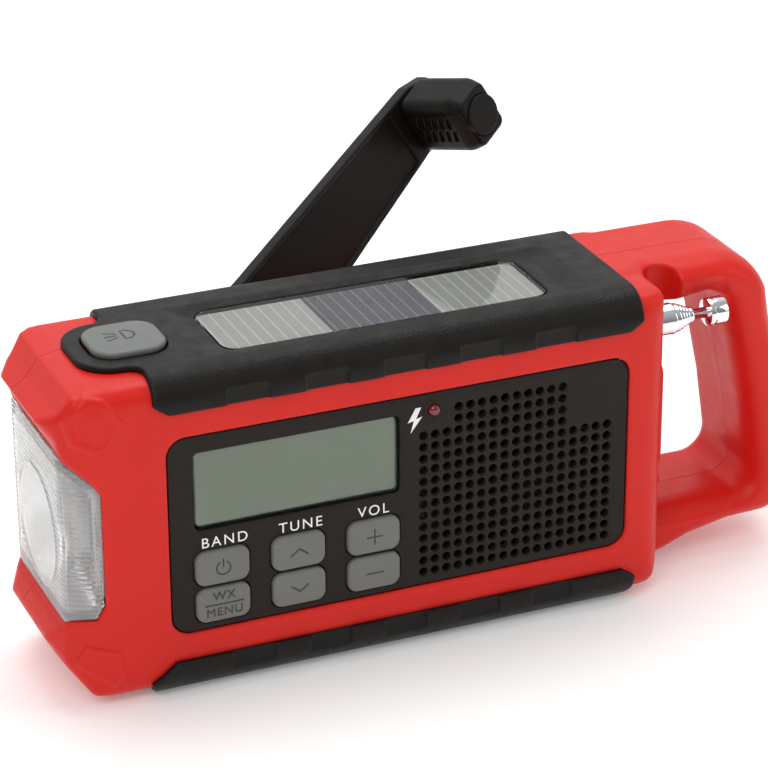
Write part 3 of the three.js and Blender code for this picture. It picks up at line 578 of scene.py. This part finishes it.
def cover(x, y, z):
    skin = end_view(y, z, SKIN)
    inner = end_view(y, z, -0.7)
    wide = polygon(x, z, [(-57.9, 73), (57.9, 73), (61.5, 75.6), (61.5, 95), (-61.5, 95), (-61.5, 75.6)])
    tongue = rect(x, y, -74, -49.5, -13, 13, 9)
    plan = fuse(3.5, np.maximum(wide, slab(y, -40, 40)), tongue)
    across = np.clip((14.2 - np.abs(y)) / 2.0, 0, 1)
    along = np.clip(np.minimum(x + 47, 52.5 - x) / 6.2, 0, 1)
    dish = np.minimum(across, along)
    field = meet(0.75, skin, plan, 72.9 - z)
    field = meet(0.15, field, z - (TOP + SKIN - 1.15 * dish))
    field = carve(0.3, field, inner)
    field = carve(0.3, field, rect(x, y, *SOLAR_BOX, 4))
    field = carve(0.5, field, rect(x, y, -69.9, -51.3, -8.7, 8.7, 5.8))
    return notched(field, x, y, z, 70, 77.3, 0.75)


def bumper(x, y, z):
    skin = end_view(y, z, SKIN)
    inner = end_view(y, z, -0.6)
    plan = polygon(x, z, [(-61, -5), (58, -5), (61, 4), (61, 7.1), (57.6, 9.5), (-58, 9.5), (-64, 4.6)])
    field = carve(0.3, meet(0.75, skin, plan), inner)
    return notched(field, x, y, z, 5.2, 12, 0.75)


SHELL_STEP = 0.4
finish_piece(sculpt("top_cover_skin", cover, (-75, -24.5, 71.5), (62.6, 24.5, 83.6), SHELL_STEP),
             BLACK, "housing", "black_plastic", "top_cover")
finish_piece(sculpt("bottom_bumper_skin", bumper, (-65.2, -24.5, -1), (62.5, 24.5, 10.6), SHELL_STEP),
             BLACK, "housing", "black_plastic", "bottom_bumper")

# ---------- front panel ----------
holes = []
for row in range(15):
    for column in range(17):
        if not (column < 3 and row >= 13) and not (column >= 13 and row >= 11):
            holes.append(circle(5 + 3 * column, 19.3 + 3 * row, 1.1, 20))
holes.append(round_rect(-52.2, -1.1, 41.9, 61.8, 1.5))
holes.append(circle(*STATUS_LED, 1.8, 32))
for kx in KEY_COLUMNS:
    for kz in KEY_ROWS:
        holes.append(round_rect(kx - 6.95, kx + 6.95, kz - 4.7, kz + 4.7, 2.8))
finish_piece(plate("panel_face", round_rect(-58.3, 58.3, 16.1, 66.1, 4.5, 10), holes, 2.0, 0.3, FRONT_PLANE),
             PANEL, "housing", "panel_black", "front_panel")


def lens_window(x, y, z):
    depth = y - PANEL_FACE
    outline = rect(x, z, *LCD_BOX, 1.2)
    bevelled = np.maximum(outline, outline * 0.7071 + (-depth - 0.5) * 0.7071 + 0.65)
    return meet(0.1, bevelled, slab(depth, -0.5, 1.0))


finish_piece(sculpt("lcd_lens", lens_window, (-52.6, -22.3, 41.5), (-0.7, -19.9, 62.2), (0.4, 0.15, 0.4)),
             WINDOW, "housing", "clear_plastic", "lcd_window")


def key_cap(x, y, z):
    outline = rect(x, z, -KEY_WIDE / 2, KEY_WIDE / 2, -KEY_TALL / 2, KEY_TALL / 2, 2.5)
    crown = 0.35 * smooth((outline + 3.2) / 3.2)
    return meet(0.7, outline, -y - KEY_PROUD + 0.55 * crown, y - 3.1)


key_points, key_faces = surface(key_cap, (-7.2, -1.6, -5), (7.2, 3.6, 5), 0.22)
KEYS = [
    ("key_power", "power_key"), ("key_menu", "menu_key"), ("key_tune_up", "tune_up_key"),
    ("key_tune_down", "tune_down_key"), ("key_volume_up", "volume_up_key"),
    ("key_volume_down", "volume_down_key")]


def stroke(u, v, a, b, width):
    ax, ay = a
    ex, ey = b[0] - ax, b[1] - ay
    t = np.clip(((u - ax) * ex + (v - ay) * ey) / (ex * ex + ey * ey), 0, 1)
    return np.hypot(u - ax - ex * t, v - ay - ey * t) - width / 2


def bow(u, v, cu, cv, r, width, start, end):
    """An arc stroke from one angle to another, in degrees, counter-clockwise."""
    angle = (np.degrees(np.arctan2(v - cv, u - cu)) - start) % 360
    on_arc = np.abs(np.hypot(u - cu, v - cv) - r) - width / 2
    ends = [
        np.hypot(u - cu - r * math.cos(math.radians(a)), v - cv - r * math.sin(math.radians(a))) - width / 2
        for a in (start, end)]
    return np.where(angle <= (end - start) % 360, on_arc, np.minimum(*ends))


def symbol(name, lines, matrix, half_size, body, width):
    """Flat strokes standing a little above a face: each line is two points, or (centre, radius, from, to)."""
    def field(u, v, w):
        parts = []
        for line in lines:
            if len(line) == 2:
                parts.append(stroke(u, v, *line, width))
            else:
                centre, radius, start, end = line
                parts.append(bow(u, v, *centre, radius, width, start, end))
        return meet(0.02, np.minimum.reduce(parts), slab(w, -RAISED, RAISED / 3))
    made = sculpt(name, field, (-half_size, -half_size, -RAISED * 1.7), (half_size, half_size, RAISED),
                  (0.09, 0.09, 0.05), matrix)
    return finish_piece(made, SYMBOL, body, "key_grey")


KEY_SYMBOLS = [
    [((0, -0.1), 1.7, 122, 58), ((0, 0.2), (0, 2.1))],
    [((-4.6, 0.15), (4.6, 0.15))],
    [((-2.1, -0.8), (0, 0.8)), ((0, 0.8), (2.1, -0.8))],
    [((-2.1, 0.8), (0, -0.8)), ((0, -0.8), (2.1, 0.8))],
    [((-1.9, 0), (1.9, 0)), ((0, -1.9), (0, 1.9))],
    [((-2.1, 0), (2.1, 0))],
]
index = 0
for kx in KEY_COLUMNS:
    for kz in KEY_ROWS:
        node, body = KEYS[index]
        place = Matrix.Translation((kx, PANEL_FACE, kz))
        finish_piece(mesh_object(node + "_cap", key_points, key_faces, place), KEY, body, "key_grey", node)
        face = basis((1, 0, 0), (0, 0, 1), (0, -1, 0), (kx, PANEL_FACE - KEY_PROUD, kz))
        symbol(node + "_symbol", KEY_SYMBOLS[index], face, 5.0, body, 0.42)
        if node == "key_menu":
            for line, text, size, height in (("upper", "WX", 3.1, 2.15), ("lower", "MENU", 3.1, -1.9)):
                word = lettering(f"key_menu_{line}", text, size, (0, height), face)
                finish_piece(word, SYMBOL, body, "key_grey")
        index += 1

for text, middle in (("BAND", -45.1), ("TUNE", -26.25), ("VOL", -7.9)):
    label = lettering("label_" + text.lower(), text, 3.7, (middle, 38.4), FRONT_PLANE, spacing=1.25)
    finish_piece(label, PRINT, "housing", "white_plastic")
BOLT = [(2.9, 62.9), (0.9, 59.4), (2.45, 59.75), (1.6, 56.6), (4.6, 60.5), (3.0, 60.1), (4.3, 62.9)]
bolt = plate("bolt_mark", BOLT[::-1], [], RAISED, 0.02, FRONT_PLANE @ Matrix.Translation((0, 0, RAISED / 2)))
finish_piece(bolt, PRINT, "housing", "white_plastic")

dome = [
    (0, -1.5), (0.7, -1.42), (1.2, -1.1), (1.5, -0.55), (1.6, 0), (1.6, 2.3), (2.2, 2.3), (2.2, 4), (0, 4)]
led_place = Matrix.Translation((STATUS_LED[0], PANEL_FACE, STATUS_LED[1])) @ ALONG_Y
finish_piece(mesh_object("status_led_dome", *turned(dome, 40), led_place),
             LED, "housing", "led_red", "status_led")
collar = [(1.62, -0.25), (2.0, -0.32), (2.3, -0.12), (2.4, 0.15), (1.62, 0.15)]
finish_piece(mesh_object("status_led_collar", *turned(collar, 40), led_place),
             PANEL, "housing", "panel_black")

# ---------- solar window and lamp button ----------
SOLAR_TOP = 81.4


def solar_pane(x, y, z):
    return meet(0.15, rect(x, y, -40.05, 42.05, -11.75, 11.75, 3.75), slab(z, SOLAR_TOP - 1.2, SOLAR_TOP))


finish_piece(sculpt("solar_pane", solar_pane, (-40.8, -12.5, 79.6), (42.8, 12.5, 82), (0.4, 0.4, 0.15)),
             WINDOW, "housing", "clear_plastic", "solar_window")
for node, finish in (("left", CELL_GREY), ("middle", CELL_BLUE), ("right", CELL_GREY)):
    low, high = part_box("solar_cell_" + node)
    low, high = low / MM, high / MM
    outline = round_rect(low.x, high.x, low.y, high.y, 0.5, 3)
    cell = plate("solar_wafer_" + node, outline, [], 0.6, 0.05, Matrix.Translation((0, 0, high.z)))
    finish_piece(cell, finish, "housing", "solar", "solar_cell_" + node)


def lamp_key(x, y, z):
    outline = rect(x, y, -9, 9, -8.4, 8.4, 5.5)
    stem = rect(x, y, -7, 7, -6.4, 6.4, 3.5)
    crown = BUTTON_TOP - 0.35 * smooth((outline + 5) / 5)
    head = meet(0.8, outline, z - crown, 82.0 - z)
    return np.minimum(head, np.maximum(stem, slab(z, 75.6, 82.5)))


finish_piece(sculpt("lamp_button_cap", lamp_key, (-10.8, -10.3, 75), (10.8, 10.3, 85), 0.3,
                    Matrix.Translation((BUTTON_X, 0, 0))), BUTTON, "lamp_key", "key_grey", "lamp_button")
LIGHT_MARK = [
    ((0.3, 0.2), 2.3, -100, 80), ((-0.1, -2.1), (-0.1, 2.4)), ((-1.7, -0.9), (-4.2, -1.9)),
    ((-1.7, 0.2), (-4.4, 0.2)), ((-1.7, 1.3), (-4.2, 2.4))]
symbol("lamp_button_symbol", LIGHT_MARK, Matrix.Translation((BUTTON_X, 0, BUTTON_TOP)), 5.2, "lamp_key", 0.5)

# ---------- lamp ----------
RIB = 1.25


def lamp_cover(x, y, z):
    side, plan, section = block(x, y, z)
    outer = meet(1.2, side + 0.5, plan + 0.5, section + 0.5)
    ring = np.hypot(y, z - LAMP_Z)
    clear = smooth((ring - 13.5) / 1.5)
    end_face = smooth((-x - 79) / 3)
    ribs = 0.16 * np.cos(2 * np.pi * z / RIB) * (1 - end_face * (1 - clear * 0.55))
    rim = 0.25 * np.exp(-((ring - 14.2) / 0.5) ** 2) * end_face
    outer = outer + 0.2 - ribs - rim
    outline = polygon(x, z, LENS) + 0.3
    shell = meet(0.3, outer, outline)
    inner = np.maximum(np.maximum(np.maximum(side, plan), section) + 2.1, outline + 1.5)
    shell = np.maximum(shell, -np.maximum(inner, slab(x, -90, -60)))
    back = np.maximum(slab(x, -77, -60), np.maximum(slab(y, -19.8, 19.8), slab(z, 27, 57)))
    return np.maximum(shell, -back)


LENS_STEP = 0.28
finish_piece(sculpt("lamp_cover", lamp_cover, (-87.2, -22.8, 21.5), (-73.6, 22.8, 69.8), LENS_STEP),
             CLEAR, "housing", "clear_plastic", "lamp_lens")
bowl = [(14.6, -80.6), (14.6, -81.4), (13.6, -81.4), (11.9, -78.0), (9.6, -75.2), (7, -73.2), (3.2, -71.6),
        (3.2, -70.4), (7.6, -71.9), (10.4, -73.9), (12.8, -76.8)]
lamp_place = Matrix.Translation((0, 0, LAMP_Z)) @ ALONG_X
finish_piece(mesh_object("reflector_bowl", *turned(bowl[::-1], 96), lamp_place),
             REFLECTOR, "housing", "chrome", "lamp_reflector")
bulb = [(0, -74.6), (1.2, -74.4), (2.2, -73.6), (2.6, -72.4), (2.6, -69.4), (0, -69.4)]
finish_piece(mesh_object("lamp_bulb", *turned(bulb, 40), lamp_place),
             LED_WHITE, "housing", "white_plastic", "lamp_led")

# ---------- aerial ----------
ENDS = [73.4, 74.8, 75.8, 76.7, 77.6, 78.8]


def rounded_tube(outer, inner, start, end):
    lip = min(0.55, (end - start) / 4)
    return [
        (inner, start), (outer, start), (outer, end - 2 * lip), (outer + 0.12, end - 1.6 * lip),
        (outer + 0.16, end - lip), (outer + 0.08, end - 0.25 * lip), (outer - 0.05, end), (inner, end)]


aerial_place = Matrix.Translation((0, AERIAL_Y, AERIAL_Z)) @ ALONG_X
for i, end in enumerate(ENDS):
    outer = 3.8 - 0.4 * i
    tube = rounded_tube(outer, outer - 0.2, -8 + 1.2 * i, end)
    finish_piece(mesh_object(f"aerial_section_{i + 1}", *turned(tube, 48), aerial_place),
                 CHROME, f"aerial_{i + 1}", "chrome", f"aerial_tube_{i + 1}")
rod = [(0, 0), (1.3, 0), (1.35, 0.4), (1.35, 82.5), (0, 82.5)]
finish_piece(mesh_object("aerial_core", *turned(rod, 32), aerial_place),
             CHROME, "aerial_tip", "chrome", "aerial_rod")
tip = [
    (0, 82.6), (2.9, 82.6), (3.35, 82.75), (3.5, 83.1), (3.5, 83.7), (3.28, 83.9), (3.28, 84.15),
    (3.5, 84.35), (3.5, 86.9), (3.35, 87.3), (3.0, 87.5), (0, 87.5)]
finish_piece(crease(mesh_object("aerial_end", *turned(tip, 64), aerial_place)),
             CHROME, "aerial_tip", "chrome", "aerial_cap")

# ---------- crank ----------


def crank_frame(fold):
    u = Vector((math.cos(fold) * math.cos(CRANK_TURN), math.sin(fold), math.cos(fold) * math.sin(CRANK_TURN)))
    h = Vector((-math.sin(CRANK_TURN), 0, math.cos(CRANK_TURN)))
    return basis(u, h, u.cross(h), CRANK)


HUB_FRAME, ARM_FRAME = crank_frame(0), crank_frame(CRANK_FOLD)
NECK = 10.4
ARM = [(0, -NECK), (13, -NECK), (17, -12.6), (92, -8.8), (99, -6.4), (101.6, -3)]
ARM = ARM + [(u, -v) for u, v in ARM[::-1]]


def arm(u, v, w):
    outline = polygon(u, v, ARM)
    body = meet(0.55, outline, slab(w, -1.8, 1.8))
    barrel = meet(0.4, disc(u, w, 0, 0, 2.4), slab(v, -NECK, NECK))
    body = fuse(0.8, body, barrel)
    trough = meet(0.8, outline + 1.3, slab(u, 15, 82.5))
    body = carve(0.25, body, np.maximum(trough, 1.15 - np.abs(w)))
    pin = disc(u, w, 0, 0, 1.7)
    seat = np.maximum(disc(u, v, ARM_LENGTH, 0, 4.4), slab(w, -10, -0.8))
    return carve(0.15, body, pin, disc(u, v, ARM_LENGTH, 0, 2.3), seat)


def knob(u, v, w):
    u = u - ARM_LENGTH
    box = rect(u, v, -6.5, 6.5, -8.3, 8.3, 3.4)
    taper = 1.5 * smooth((w - 17.5) / 6)
    body = meet(0.9, box + taper, slab(w, 2.2, 22.6))
    end = meet(0.35, disc(u, v, 0, 0, 5.2), slab(w, 19, 23.1))
    groove = meet(0.1, np.abs(np.hypot(u, v) - 5.25) - 0.22, slab(w, 22.2, 25))
    body = carve(0.15, body, groove)
    body = np.minimum(body, end)
    for row in (-3.3, 0.9):
        for i in range(5):
            start = 5.6 + 2.5 * i
            slot = meet(0.2, slab(w - 0.35 * (v - row), start, start + 1.2), slab(v, row, row + 3.4), u + 5.7)
            body = carve(0.2, body, slot)
    return carve(0.1, body, np.maximum(disc(u, v, 0, 0, 2.1), slab(w, 0, 14.2)))


def hub(u, v, w):
    """The disc with the two ears that hold the arm; w runs into the wall, towards the front."""
    plate_disc = meet(0.7, disc(u, v, 0, 0, 13.6), slab(w, 2.9, 6.7))
    groove = meet(0.1, np.abs(np.hypot(u, v) - 9) - 0.4, 3.4 - w)
    plate_disc = carve(0.1, plate_disc, groove)
    shaft = np.maximum(disc(u, v, 0, 0, 2.3), slab(w, 5.9, 19.2))
    ears = meet(0.5, rect(u, w, -2.7, 2.7, -2.7, 3.5, 2.4), slab(np.abs(v), 10.7, 13.3))
    made = fuse(0.5, plate_disc, ears)
    return carve(0.1, np.minimum(made, shaft), disc(u, w, 0, 0, 1.6))


finish_piece(sculpt("crank_lever", arm, (-3.5, -13.5, -3.2), (102.5, 13.5, 3.2), 0.4, ARM_FRAME),
             SMOOTH_BLACK, "arm", "black_plastic", "crank_arm")
finish_piece(sculpt("crank_handgrip", knob, (84.6, -9.1, 1.6), (99.4, 9.1, 24), 0.25, ARM_FRAME),
             SMOOTH_BLACK, "knob", "black_plastic", "crank_knob")
finish_piece(sculpt("crank_rotor_disc", hub, (-14.4, -14.4, -3.4), (14.4, 14.4, 20), 0.35, HUB_FRAME),
             SMOOTH_BLACK, "crank", "black_plastic", "crank_hub")

# ---------- rear and end doors, screws ----------


def battery_lid(x, y, z):
    lid = meet(0.35, rect(x, z, -13.7, 39.7, 11.3, 42.7, 2.8), slab(y, 20.6, 22))
    notch = meet(0.5, rect(x, z, 8.5, 17.5, 35.4, 40.2, 2.3), 21.2 - y)
    lid = carve(0.25, lid, notch)
    for i in range(4):
        line = meet(0.1, slab(z, 14.6 + 1.8 * i, 15.3 + 1.8 * i), slab(x, 4, 22), 21.7 - y)
        lid = carve(0.1, lid, line)
    return lid


def port_lid(x, y, z):
    lid = meet(0.45, rect(y, z, *PORT, 3), slab(x, 70.1, PORT_FACE))
    pull = meet(0.3, rect(y, z, -14.5, -11.6, 26.6, 31.4, 1.4), 71.2 - x)
    return carve(0.2, lid, pull)


finish_piece(sculpt("battery_lid_skin", battery_lid, (-14.5, 20, 10.6), (40.5, 22.6, 43.4), 0.3),
             RED, "battery_lid", "red_plastic", "battery_door")
finish_piece(sculpt("port_lid_skin", port_lid, (69.5, -13.7, 23.4), (73.1, 6.7, 58.6), 0.3),
             RED, "port_lid", "red_plastic", "port_door")


def screw(x, y, z):
    head = meet(0.3, disc(x, z, 0, 0, 2.8), slab(y, -3, -1.4))
    shank = np.maximum(disc(x, z, 0, 0, 1.45), slab(y, -12, -2.4))
    across, along = np.abs(x), np.abs(z)
    cross = np.minimum(np.maximum(across - 0.35, along - 1.8), np.maximum(along - 0.35, across - 1.8))
    return np.minimum(carve(0.05, head, np.maximum(cross, -2.2 - y)), shank)


screw_points, screw_faces = surface(screw, (-3.2, -12.5, -3.2), (3.2, -1, 3.2), 0.2)
for i, (sx, sz, face) in enumerate(SCREWS):
    finish_piece(mesh_object(f"screw_{i + 1}", screw_points, screw_faces, Matrix.Translation((sx, face, sz))),
                 STEEL, "housing", "steel", f"case_screw_{i + 1}")

# ---------- carried-over CAD nodes ----------
FINISHES = {
    "lcd_module": LCD, "key_board": BOARD, "solar_tray": BLACK, "lamp_switch": BOARD, "lamp_bezel": WHITE,
    "speaker_frame": STEEL, "speaker_cone": SMOOTH_BLACK, "speaker_magnet": STEEL, "main_board": BOARD,
    "usb_socket": STEEL, "phones_socket": PANEL, "power_socket": PANEL, "aerial_sleeve": BRASS,
    "crank_gear": WHITE, "step_gear": WHITE, "rotor_pinion": BRASS, "generator_case": STEEL,
    "gear_plate": STEEL, "crank_hinge_pin": STEEL, "knob_pin": STEEL, "battery_tray": BLACK,
    "battery_pack": WRAP}
for node, finish in FINISHES.items():
    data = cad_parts[node].data
    data.materials.clear()
    data.materials.append(finish)

# ---------- stage, light and camera ----------
floor_mesh = bpy.data.meshes.new("floor")
floor_mesh.from_pydata([(-6, -6, 0), (6, -6, 0), (6, 6, 0), (-6, 6, 0)], [], [(0, 1, 2, 3)])
floor = bpy.data.objects.new("floor", floor_mesh)
bpy.context.scene.collection.objects.link(floor)
floor_finish = bpy.data.materials.new("floor")
floor_finish.use_nodes = True
floor_shader = floor_finish.node_tree.nodes["Principled BSDF"]
floor_shader.inputs["Base Color"].default_value = (0.93, 0.925, 0.915, 1)
floor_shader.inputs["Roughness"].default_value = 0.9
floor_shader.inputs["Specular IOR Level"].default_value = 0.1
floor_shader.inputs["Emission Color"].default_value = (1, 0.995, 0.985, 1)
floor_shader.inputs["Emission Strength"].default_value = 0.16
floor_mesh.materials.append(floor_finish)

world = bpy.data.worlds.new("studio")
world.use_nodes = True
sky_nodes, sky_links = world.node_tree.nodes, world.node_tree.links
sky_split = sky_nodes.new("ShaderNodeSeparateXYZ")
sky_links.new(sky_nodes.new("ShaderNodeTexCoord").outputs["Generated"], sky_split.inputs[0])
sky_ramp = sky_nodes.new("ShaderNodeValToRGB")
stops = sky_ramp.color_ramp.elements
# Dim at the horizon, full overhead.
levels = ((0.0, 0.34), (1.0, 1.0), (0.35, 0.55))
for stop, (place, level) in zip((stops[0], stops[1], stops.new(0.5)), levels):
    stop.position = place
    stop.color = (level, level, level, 1)
sky_links.new(sky_split.outputs["Z"], sky_ramp.inputs["Fac"])
sky_links.new(sky_ramp.outputs["Color"], sky_nodes["Background"].inputs["Color"])
# Brighter behind the radio than in front of it.
sky_behind = sky_nodes.new("ShaderNodeMapRange")
sky_links.new(sky_split.outputs["Y"], sky_behind.inputs["Value"])
for key, value in (("From Min", 0.0), ("From Max", 0.8), ("To Min", 0.55), ("To Max", 1.75)):
    sky_behind.inputs[key].default_value = value
sky_links.new(sky_behind.outputs["Result"], sky_nodes["Background"].inputs["Strength"])
bpy.context.scene.world = world


def soft_box(name, place, aim, size, power):
    light = bpy.data.lights.new(name, "AREA")
    light.shape = "RECTANGLE"
    light.size, light.size_y = size
    light.energy = power
    made = bpy.data.objects.new(name, light)
    made.location = place
    made.rotation_euler = (Vector(aim) - Vector(place)).to_track_quat("-Z", "Y").to_euler()
    bpy.context.scene.collection.objects.link(made)


soft_box("key_light", (-0.55, -0.75, 0.95), (0, 0, 0.04), (0.7, 0.5), 4.3)
soft_box("top_light", (0.15, 0.25, 1.15), (0, 0, 0.05), (0.9, 0.7), 6)
soft_box("fill_light", (0.95, -0.6, 0.5), (0, 0, 0.05), (0.5, 0.7), 2)

camera_data = bpy.data.cameras.new("camera")
camera_data.lens = 148.98
camera_data.sensor_width = 36
camera_data.clip_start = 0.02
camera = bpy.data.objects.new("camera", camera_data)
camera.matrix_world = basis(
    (0.92074088, -0.39014975, -0.0044046), (0.1680366, 0.38632221, 0.90692825),
    (-0.35213624, -0.83578605, 0.4212621), (-0.26318142, -0.63399355, 0.37945396))
bpy.context.scene.collection.objects.link(camera)
bpy.context.scene.camera = camera
bpy.context.scene.view_settings.view_transform = "Standard"
